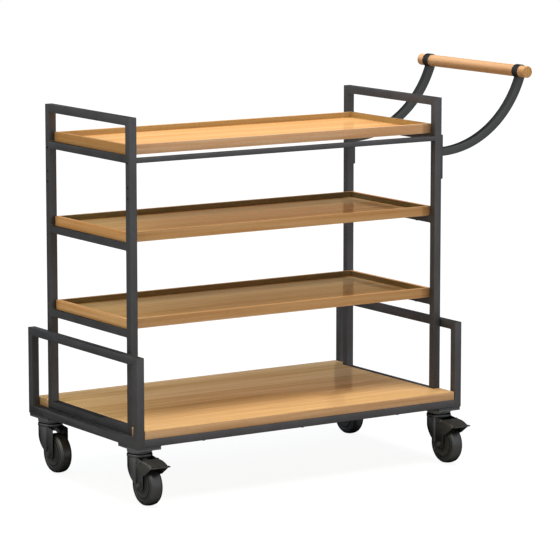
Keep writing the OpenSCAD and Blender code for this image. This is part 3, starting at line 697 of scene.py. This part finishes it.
for name in ("side_rail_front", "side_rail_back", "cross_rail_left", "cross_rail_middle",
             "cross_rail_right", "tie_rail_front", "tie_rail_back"):
    make_piece("drawn_" + name, rail(name), [FRAME_PAINT], "trolley", "frame", name)

# %% [markdown]
# ## Deck board
# The deck is a thick glued board, notched round the ladders. It could be drawn anew, but
# its notches are right in the CAD solid, so a copy of that is merged, its flat faces are
# made whole, and its long edges get the small round that a router leaves before the
# lacquer goes on. The narrow faces take the finish of a sawn and sanded edge.

# %% Deck
DECK_ROUND_MM = 1.6
LONG_EDGE_MM = 9.0
bm = bmesh.new()
bm.from_mesh(NODES["deck_board"].data)
bmesh.ops.remove_doubles(bm, verts=bm.verts, dist=1e-6)
bmesh.ops.dissolve_limit(bm, angle_limit=math.radians(1), verts=bm.verts, edges=bm.edges)
ease(bm, sharp_edges(bm, lambda e: e.calc_length() > LONG_EDGE_MM * MM), DECK_ROUND_MM)
bm.normal_update()
for face in bm.faces:
    face.material_index = int(abs(face.normal.z) < 0.5)
make_piece("routed_deck", bm, [DECK_WOOD, DECK_EDGE], "trolley", "deck_wood", "deck_board")

# %% [markdown]
# ## Tray rims
# A tray is edged with four planed strips, mitred at the corners and rebated below for the
# panel. One outline is drawn across the strip, pushed out along its length and cut at both
# ends with a 45 degree plane. The grain then runs along each strip, which a one-piece frame
# could not show, and the hair-fine seams of the mitres come with it. Each strip takes two
# finishes, the second one, darker and greyer as painted shade, on the side that faces into
# the tray.

# %% Rims
RIM_MM = 10.0
REBATE_MM = 4.0
REBATE_HIGH_MM = 7.5
RIM_ROUND_MM = 1.0


def rim_strip(length, width, height, turn):
    """The strip on one side of a tray that is centred on the origin."""
    t, r, lip, h = RIM_MM * MM, REBATE_MM * MM, REBATE_HIGH_MM * MM, height
    bm = bmesh.new()
    outline = [(0, 0), (t - r, 0), (t - r, lip), (t, lip), (t, h), (0, h)]
    section = bm.faces.new([bm.verts.new((-length / 2, -width / 2 + y, z)) for y, z in outline])
    push(bm, [section], (length, 0, 0))
    for side in (-1, 1):
        mitre = cut(bm, (side * length / 2, -width / 2, 0), (side, 1, 0), clear_outer=True)
        bmesh.ops.holes_fill(bm, edges=[e for e in mitre if isinstance(e, bmesh.types.BMEdge)])
    bmesh.ops.recalc_face_normals(bm, faces=bm.faces)
    long_top = sharp_edges(bm, lambda e: min(v.co.z for v in e.verts) > height - 1e-5
                           and abs(e.verts[0].co.x - e.verts[1].co.x) > length / 2)
    ease(bm, long_top, RIM_ROUND_MM)
    for face in bm.faces:
        # Faces that look into the tray take the darker finish, which is painted shade.
        inside = face.normal.y > 0.9 and face.calc_center_median().y > t - width / 2 - 1e-5
        face.material_index = 2 * inside
    bmesh.ops.rotate(bm, cent=(0, 0, 0), matrix=Matrix.Rotation(turn, 3, "Z"), verts=bm.verts)
    return bm


for level in ("bottom", "middle", "top"):
    low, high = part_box(f"tray_{level}_rim")
    size = high - low
    strips = []
    for quarter in range(4):
        across = quarter % 2
        length, width = (size.y, size.x) if across else (size.x, size.y)
        strip = rim_strip(length, width, size.z, quarter * math.pi / 2)
        for face in strip.faces:
            face.material_index += across
        strips.append(strip)
    bm = joined(strips)
    move(bm, ((low.x + high.x) / 2, (low.y + high.y) / 2, low.z))
    make_piece(f"mitred_rim_{level}", bm, RIM_WOODS[level], "trolley", "rim_wood",
               f"tray_{level}_rim")

# %% [markdown]
# ## Lathe work
# The push bar, its collars, the wheels and the castors' races are all turned or moulded
# round an axis. Each is one closed outline of (place along the axis, radius), with its
# corners rounded while it is still flat and easy to round, and then spun a full turn.

# %% Lathe
def turned(outline, rounds=None, steps=96):
    """An outline of (along X, radius) in millimetres, spun round the X axis."""
    bm = bmesh.new()
    verts = [bm.verts.new((along * MM, 0, radius * MM)) for along, radius in outline]
    bm.faces.new(verts)
    for width_mm, picks in (rounds or {}).items():
        bmesh.ops.bevel(bm, geom=[verts[i] for i in picks], offset=width_mm * MM,
                        offset_type="OFFSET", segments=4, profile=0.5, affect="VERTICES",
                        material=-1, clamp_overlap=True)
    bmesh.ops.delete(bm, geom=bm.faces[:], context="FACES_ONLY")
    on_axis = [e for e in bm.edges if all(abs(v.co.z) < 1e-7 for v in e.verts)]
    bmesh.ops.delete(bm, geom=on_axis, context="EDGES")
    bmesh.ops.spin(bm, geom=bm.verts[:] + bm.edges[:], cent=(0, 0, 0), axis=(1, 0, 0),
                   angle=2 * math.pi, steps=steps, use_merge=True)
    bmesh.ops.remove_doubles(bm, verts=bm.verts, dist=1e-6)
    return bm


def turned_to(bm, axis, place=(0, 0, 0)):
    """Swings lathe work from the X axis to another one and carries it to its place."""
    swing = Vector((1, 0, 0)).rotation_difference(Vector(axis)).to_matrix()
    bmesh.ops.rotate(bm, cent=(0, 0, 0), matrix=swing, verts=bm.verts)
    move(bm, place)
    return bm


# %% [markdown]
# ## Push bar
# The bar is a beech dowel with eased ends. It could be a plain cylinder, but the ends need
# their round and their dull end grain, so it is turned on the lathe like the real one.

# %% Bar
low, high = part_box("handle_bar")
BAR_AT = (low + high) / 2
BAR_R_MM = (high.z - low.z) / 2 / MM
BAR_HALF_MM = (high.y - low.y) / 2 / MM
BAR_ROUND_MM = 1.8

bm = turned([(-BAR_HALF_MM, 0), (-BAR_HALF_MM, BAR_R_MM),
             (BAR_HALF_MM, BAR_R_MM), (BAR_HALF_MM, 0)], {BAR_ROUND_MM: (1, 2)})
bm.normal_update()
for face in bm.faces:
    face.material_index = int(abs(face.normal.x) > 0.9)
make_piece("turned_bar", turned_to(bm, (0, 1, 0), BAR_AT), [BAR_WOOD, BAR_END],
           "trolley", "bar_wood", "handle_bar")

# %% [markdown]
# ## Bent arms
# Each end of the bar is clamped in a steel collar. The collar is welded to an arm, a
# rectangular tube bent in one arc from a plate on the post. The arm could follow a curve
# with a bevel, but its section drawn with rounded corners at the foot and spun round the
# bend's centre keeps the exact radius. The inside of the bend has its own darker finish,
# which is painted shade.

# %% Arms
ARM_WIDE_MM, ARM_THICK_MM, ARM_OUT_MM = 20.0, 21.0, 200.0
COLLAR_HALF_MM, COLLAR_T_MM = 10.5, 2.5
COLLAR_GAP_MM, COLLAR_ROUND_MM = 0.05, 0.9
PLATE_ROUND_MM = 0.8
BEND_R_MM = 275.08
BEND_CENTRE = spot(468.5, 0, 1085.08)
BEND_FROM, BEND_TO = math.radians(1.04), math.radians(73.1)

for name, side in (("front", -1), ("back", 1)):
    centre = BEND_CENTRE + Vector((0, side * ARM_OUT_MM * MM, 0))
    wide, thick = ARM_WIDE_MM / 2 * MM, ARM_THICK_MM / 2 * MM
    arm = bmesh.new()
    verts = [arm.verts.new(centre + Vector((0, v * wide, -BEND_R_MM * MM + w * thick)))
             for v, w in ((-1, -1), (1, -1), (1, 1), (-1, 1))]
    arm.faces.new(verts)
    bmesh.ops.bevel(arm, geom=verts, offset=TUBE_ROUND_MM * MM, offset_type="OFFSET", segments=3,
                    profile=0.5, affect="VERTICES", material=-1)
    bmesh.ops.delete(arm, geom=arm.faces[:], context="FACES_ONLY")
    lift = Matrix.Rotation(-BEND_FROM, 3, "Y")
    bmesh.ops.rotate(arm, cent=centre, matrix=lift, verts=arm.verts)
    bmesh.ops.spin(arm, geom=arm.verts[:] + arm.edges[:], cent=centre, axis=(0, -1, 0),
                   angle=BEND_TO - BEND_FROM, steps=48)
    bmesh.ops.holes_fill(arm, edges=[e for e in arm.edges if e.is_boundary])
    inner, outer = BAR_R_MM + COLLAR_GAP_MM, BAR_R_MM + COLLAR_T_MM
    collar = turned([(-COLLAR_HALF_MM, inner), (-COLLAR_HALF_MM, outer),
                     (COLLAR_HALF_MM, outer), (COLLAR_HALF_MM, inner)], {COLLAR_ROUND_MM: (1, 2)})
    turned_to(collar, (0, 1, 0), BAR_AT + Vector((0, side * ARM_OUT_MM * MM, 0)))
    for face in collar.faces:
        face.material_index = 1
    bmesh.ops.recalc_face_normals(arm, faces=arm.faces)
    # Faces that look towards the bend's centre take the darker finish, painted shade.
    for face in arm.faces:
        inward = (centre - face.calc_center_median()).normalized()
        face.material_index = 2 * int(face.normal.dot(inward) > 0.6)
    make_piece("bent_arm_" + name, joined([arm, collar]),
               [ARM_PAINT, COLLAR_PAINT, ARM_PAINTED_SHADE], "trolley", "frame", "handle_arm_" + name)
    plate = block(*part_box("handle_plate_" + name))
    ease(plate, sharp_edges(plate), PLATE_ROUND_MM, 2)
    make_piece("bolted_plate_" + name, plate, [FRAME_PAINT], "trolley", "frame",
               "handle_plate_" + name)

# %% [markdown]
# ## Wheels
# A castor wheel is a moulded plastic centre with a rubber tyre moulded round it, and on
# each side a dished disc that keeps threads out of the bearing, parted from the tyre by a
# narrow groove. The tyre's tread is crowned, a shallow step parts it from the round
# shoulder, and a bead ring stands a little proud of each wall. Rings could be laid on a
# cylinder, but one outline holds all these steps. A shape is made once, round the swivel
# axis, and copied to each castor.

# %% Castor helpers
CASTORS = ("fl", "fr", "bl", "br")


def swivel_axis(castor):
    """The castor's upright axis, where it meets the floor."""
    low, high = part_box("castor_plate_" + castor)
    return Vector(((low.x + high.x) / 2, (low.y + high.y) / 2, 0))


def castor_pieces(name, bm, finishes, body, slot, node, castors=CASTORS):
    """Copies a shape, made round the swivel axis, to each castor."""
    for castor in castors:
        copy = bm.copy()
        move(copy, swivel_axis(castor))
        riding = body if body == "trolley" else body + castor
        make_piece(name + castor, copy, finishes, riding, slot, node + castor)
    bm.free()


def mirrored(half):
    """A closed outline from its left half, which starts and ends at the bore."""
    return half + [(-along, radius) for along, radius in reversed(half)]


# %% Tyres
TRAIL_MM, WHEEL_R_MM = 37.0, 51.5
TYRE_HALF_MM, TYRE_BORE_MM = 16.0, 34.0
BEAD_OUT_MM, BEAD_LOW_MM, BEAD_HIGH_MM = 16.6, 36.2, 40.8
CROWN_R_MM, TREAD_HALF_MM, TREAD_STEP_MM = 40.0, 12.0, 0.5
SHOULDER_R_MM, SHOULDER_TOP_MM = 4.0, 48.5
WHEEL_AT = Vector((0, -TRAIL_MM, WHEEL_R_MM)) * MM

shoulder = [(-(TYRE_HALF_MM - SHOULDER_R_MM + SHOULDER_R_MM * math.sin(a)),
             SHOULDER_TOP_MM - SHOULDER_R_MM + SHOULDER_R_MM * math.cos(a))
            for a in (math.radians(d) for d in (90, 72, 54, 36, 18))]
crown = [(-x, WHEEL_R_MM - CROWN_R_MM + math.sqrt(CROWN_R_MM ** 2 - x ** 2))
         for x in (TREAD_HALF_MM, 11.5, 9.0, 6.0, 3.0)]
crown[0] = (crown[0][0], crown[0][1] - TREAD_STEP_MM)
bead = [(-TYRE_HALF_MM, BEAD_LOW_MM), (-BEAD_OUT_MM, 36.8), (-BEAD_OUT_MM, 40.2),
        (-TYRE_HALF_MM, BEAD_HIGH_MM)]
half = [(-TYRE_HALF_MM, TYRE_BORE_MM)] + bead + shoulder + crown
tyre = turned(mirrored(half), steps=120)
move(tyre, WHEEL_AT)
castor_pieces("moulded_tyre_", tyre, [TYRE_RUBBER], "wheel_", "tyre", "castor_tyre_")

# %% Wheel centres
HUB_FACE_MM, HUB_BOSS_MM, HUB_OUT_MM = 14.5, 20.7, 33.95
BORE_R_MM, BOSS_OUT_MM = 4.1, 9.5
GUARD_MM, GUARD_R_MM = 17.5, 32.4
DISH_R_MM, DISH_AT_MM, DISH_RISE_MM = 30, 20, 28.8

dish = [(-GUARD_MM + math.sqrt(DISH_R_MM ** 2 - (r - DISH_AT_MM) ** 2) - DISH_RISE_MM, r)
        for r in (11.6, 13.7, 15.8, 17.9, 20, 22.1, 24.2, 26.3, 28.4)]
half = [(-HUB_BOSS_MM, BORE_R_MM), (-HUB_BOSS_MM, BOSS_OUT_MM), (-GUARD_MM, BOSS_OUT_MM)] + dish
half += [(-GUARD_MM, GUARD_R_MM - 1), (-GUARD_MM + 0.3, GUARD_R_MM - 0.3),
         (-GUARD_MM + 1, GUARD_R_MM), (-HUB_FACE_MM, GUARD_R_MM), (-HUB_FACE_MM, HUB_OUT_MM)]
hub = turned(mirrored(half), steps=96)
move(hub, WHEEL_AT)
castor_pieces("moulded_hub_", hub, [WHEEL_PLASTIC], "wheel_", "wheel_centre", "castor_hub_")

# %% [markdown]
# ## Castor forks
# The fork is pressed from sheet: two flat legs step out into a round back that slopes away
# behind the wheel, under a crown with a rolled rim. The plan is drawn as a thin line, half
# of it by spinning one point round the swivel axis, then raised as a wall, trimmed to the
# side view by moving its lower and upper edge, and thickened inwards. A cut block would
# be simpler, but only a wall of even thickness looks like pressed sheet from behind.

# %% Forks
LEG_OUT_MM, LEG_FRONT_MM, SHEET_MM = 23.5, 51.5, 2.5
BACK_R_MM, BACK_FROM = 31.0, math.radians(31.5)
BOSS_R_MM, SLOPE, SKIRT_MM = 15.0, math.radians(37.6), 97.0
SLOPE_R_MM = BOSS_R_MM - 0.4
CROWN_UNDER_MM, CROWN_TOP_MM = 122.0, 126.0
BROW_FROM_MM, BROW_FALL = -16, 5.0 / 35.5
FOOT_Y = -TRAIL_MM + SLOPE_R_MM * math.cos(SLOPE)
FOOT_Z = WHEEL_R_MM - SLOPE_R_MM * math.sin(SLOPE)


def wall_foot(y):
    """Height of the wall's lower edge: round the axle, up the slope, level behind."""
    if y > FOOT_Y:
        return min(FOOT_Z + (y - FOOT_Y) / math.tan(SLOPE), SKIRT_MM)
    return WHEEL_R_MM - math.sqrt(max(BOSS_R_MM ** 2 - (y + TRAIL_MM) ** 2, 0.0))


def wall_top(y):
    """Height of the wall's upper edge, which falls towards the front of the legs."""
    return CROWN_UNDER_MM - 0.5 - max(0.0, BROW_FROM_MM - y) * BROW_FALL


print("slope meets the axle's round at", round(FOOT_Y, 2), round(FOOT_Z, 2))

# %% Fork plan
bm = bmesh.new()
ends = []
for side in (-1, 1):
    places = [(side * BACK_R_MM * math.cos(BACK_FROM), -BACK_R_MM * math.sin(BACK_FROM)),
              (side * (LEG_OUT_MM + 0.9), -17.6), (side * LEG_OUT_MM, -19.4)]
    places += [(side * LEG_OUT_MM, y) for y in range(-22, -51, -2)]
    places.append((side * LEG_OUT_MM, -LEG_FRONT_MM))
    chain = [bm.verts.new((x * MM, y * MM, 0)) for x, y in places]
    for a, b in zip(chain, chain[1:]):
        bm.edges.new((a, b))
    ends.append(chain[0])
bmesh.ops.spin(bm, geom=[ends[0]], cent=(0, 0, 0), axis=(0, 0, -1),
               angle=math.pi + 2 * BACK_FROM, steps=48)
bmesh.ops.remove_doubles(bm, verts=bm.verts, dist=1e-5)
print("fork plan points:", len(bm.verts))

# %% Fork wall
new = bmesh.ops.extrude_edge_only(bm, edges=bm.edges[:])["geom"]
upper = {v for v in new if isinstance(v, bmesh.types.BMVert)}
for vert in bm.verts:
    y = vert.co.y / MM
    vert.co.z = (wall_top(y) if vert in upper else wall_foot(y)) * MM
bmesh.ops.recalc_face_normals(bm, faces=bm.faces)
outward = sum(f.normal.xy.dot(f.calc_center_median().xy) for f in bm.faces)
if outward < 0:
    bmesh.ops.reverse_faces(bm, faces=bm.faces[:])
bmesh.ops.solidify(bm, geom=bm.faces[:], thickness=SHEET_MM * MM)
print("fork wall spans x", [round(f(v.co.x for v in bm.verts) / MM, 1) for f in (min, max)])
ease(bm, sharp_edges(bm), 0.5, 2)

# %% Fork crown
HEAD_R_MM, HEAD_IN_MM, RIM_LOW_MM = 32.0, 29.6, 118
crown = turned([(CROWN_TOP_MM, 0), (CROWN_TOP_MM, HEAD_R_MM), (RIM_LOW_MM, HEAD_R_MM),
                (RIM_LOW_MM, HEAD_IN_MM), (CROWN_UNDER_MM, HEAD_IN_MM), (CROWN_UNDER_MM, 0)],
               {2.2: (1,), 1.2: (2,)})
turned_to(crown, (0, 0, 1))
castor_pieces("pressed_fork_", joined([bm, crown]), [CASTOR_PAINT], "fork_", "castor_metal",
              "castor_fork_")

# %% [markdown]
# ## Top plates and pads
# A plate with a turned race under it carries each fork, and is bolted to a pad that is
# welded under the base's corner. The race could be left out, as it hardly shows, but from
# below it is what the fork turns on, so it is spun with its kingpin and joined on.

# %% Top plates
CUP_LOW_MM, CUP_HIGH_MM, CUP_R_MM = 129.0, 138.0, 31.5
PIN_R_MM, PIN_LOW_MM = 6, CROWN_UNDER_MM + 1
RACE_R_MM, RACE_LOW_MM = 25, CROWN_TOP_MM + 0.3

cup = turned([(PIN_LOW_MM, 0), (PIN_LOW_MM, PIN_R_MM), (RACE_LOW_MM, PIN_R_MM),
              (RACE_LOW_MM, RACE_R_MM), (CUP_LOW_MM, RACE_R_MM), (CUP_LOW_MM, CUP_R_MM),
              (CUP_HIGH_MM, CUP_R_MM), (CUP_HIGH_MM, 0)], {1.6: (5,)})
turned_to(cup, (0, 0, 1))
low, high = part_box("castor_plate_fl")
axis = swivel_axis("fl")
plate = block(Vector((low.x, low.y, CUP_HIGH_MM * MM)) - axis, high - axis)
ease(plate, sharp_edges(plate), 0.7, 2)
castor_pieces("race_plate_", joined([plate, cup]), [RACE_PAINTED_LIGHT], "trolley", "castor_metal",
              "castor_plate_")
for castor in CASTORS:
    pad = block(*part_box("castor_pad_" + castor))
    ease(pad, sharp_edges(pad), 0.6, 2)
    make_piece("welded_pad_" + castor, pad, [FRAME_PAINT], "trolley", "frame",
               "castor_pad_" + castor)

# %% [markdown]
# ## Brake pedals
# The pedal is a hood over the wheel whose cheeks hang outside the fork and turn on a pin.
# It is a piece of a ring: an arch with rounded shoulders is spun part of a turn round the
# crest's centre, trimmed with planes to its side view, opened where the fork passes, and
# thickened. It could be a box with rounded edges, but its roof is crowned both ways, and
# a spin gives that at once. Lugs round the pin, a toe lip and the brake shoe are joined.

# %% Hood arch
PEDAL_OUT_MM, PEDAL_WALL_MM, HOOD_ROUND_MM = 26.4, 2.4, 8.0
CREST_Y, CREST_Z, CREST_R_MM = -60.0, 48.0, 70.0
ARCH_FOOT_MM = 20
SIDE_VIEW = [(-38, 120), (-98, 120), (-98, 105), (-63, 81), (-56, 79), (-42, 84), (-23, 99),
             (-23, 108), (-30, 114)]
HOOD_FROM, HOOD_TURN = math.radians(-38), math.radians(76)
ROOF_BACK, CHEEK_IN = -52.0 * MM, 24.1 * MM

bm = bmesh.new()
arch = [(-PEDAL_OUT_MM, ARCH_FOOT_MM), (-PEDAL_OUT_MM, CREST_R_MM),
        (PEDAL_OUT_MM, CREST_R_MM), (PEDAL_OUT_MM, ARCH_FOOT_MM)]
verts = [bm.verts.new((x * MM, 0, r * MM)) for x, r in arch]
bm.faces.new(verts)
bmesh.ops.bevel(bm, geom=verts[1:3], offset=HOOD_ROUND_MM * MM, offset_type="OFFSET", segments=6,
                profile=0.5, affect="VERTICES", material=-1)
bmesh.ops.delete(bm, geom=bm.faces[:], context="FACES_ONLY")
foot = [e for e in bm.edges if all(v.co.z < (ARCH_FOOT_MM + 1) * MM for v in e.verts)]
bmesh.ops.delete(bm, geom=foot, context="EDGES_FACES")
bmesh.ops.rotate(bm, cent=(0, 0, 0), matrix=Matrix.Rotation(HOOD_FROM, 3, "X"), verts=bm.verts)
bmesh.ops.spin(bm, geom=bm.verts[:] + bm.edges[:], cent=(0, 0, 0), axis=(1, 0, 0),
               angle=HOOD_TURN, steps=38)
move(bm, Vector((0, CREST_Y, CREST_Z)) * MM)
print("hood faces before trimming:", len(bm.faces))

# %% Hood trimmed and thickened
for (y0, z0), (y1, z1) in zip(SIDE_VIEW, SIDE_VIEW[1:] + SIDE_VIEW[:1]):
    cut(bm, (0, y0 * MM, z0 * MM), (0, z1 - z0, y0 - y1), clear_outer=True)
print("hood spans y", [round(f(v.co.y for v in bm.verts) / MM, 1) for f in (min, max)])
cut(bm, (0, ROOF_BACK, 0), (0, 1, 0))
for side in (1, -1):
    cut(bm, (side * CHEEK_IN, 0, 0), (1, 0, 0))
roof = [f for f in bm.faces if f.calc_center_median().y > ROOF_BACK
        and abs(f.calc_center_median().x) < CHEEK_IN]
bmesh.ops.delete(bm, geom=roof, context="FACES")
bmesh.ops.recalc_face_normals(bm, faces=bm.faces)
up = max(bm.faces, key=lambda f: f.calc_center_median().z)
if up.normal.z < 0:
    bmesh.ops.reverse_faces(bm, faces=bm.faces[:])
bmesh.ops.solidify(bm, geom=bm.faces[:], thickness=PEDAL_WALL_MM * MM)
ease(bm, sharp_edges(bm), 0.6, 2)

# %% Lugs, lip and shoe
PIVOT_Y, PIVOT_Z = -44.0, 112.0
EYE_R_MM, LUG_R_MM = 3.1, 6

parts = [bm]
for side in (-1, 1):
    inner, outer = PEDAL_OUT_MM - PEDAL_WALL_MM, PEDAL_OUT_MM
    lug = turned([(inner, EYE_R_MM), (inner, LUG_R_MM), (outer, LUG_R_MM), (outer, EYE_R_MM)],
                 {0.6: (2,)}, steps=40)
    bmesh.ops.scale(lug, vec=(side, 1, 1), verts=lug.verts)
    parts.append(turned_to(lug, (1, 0, 0), Vector((0, PIVOT_Y, PIVOT_Z)) * MM))
lip = block(Vector((-25.4, -107, 105)) * MM, Vector((25.4, -95, 107.5)) * MM)
corners = sharp_edges(lip, lambda e: abs(e.verts[0].co.z - e.verts[1].co.z) > 1 * MM)
ease(lip, corners, 3.0, 4)
ease(lip, sharp_edges(lip), 0.7, 2)
shoe = block(Vector((-12, -70, 103)) * MM, Vector((12, -58, 116.8)) * MM)
ease(shoe, sharp_edges(shoe), 1.0, 2)
pedal = joined(parts + [lip, shoe])
pedal.normal_update()
# Upward faces take the ribbed grip, whose dark grooves are partly painted shade.
for face in pedal.faces:
    face.material_index = int(face.normal.z > 0.75)
castor_pieces("pressed_pedal_", pedal, [PEDAL_PLASTIC, PEDAL_GRIP_AND_SHADE], "pedal_", "brake",
              "brake_pedal_", ("fl", "fr"))
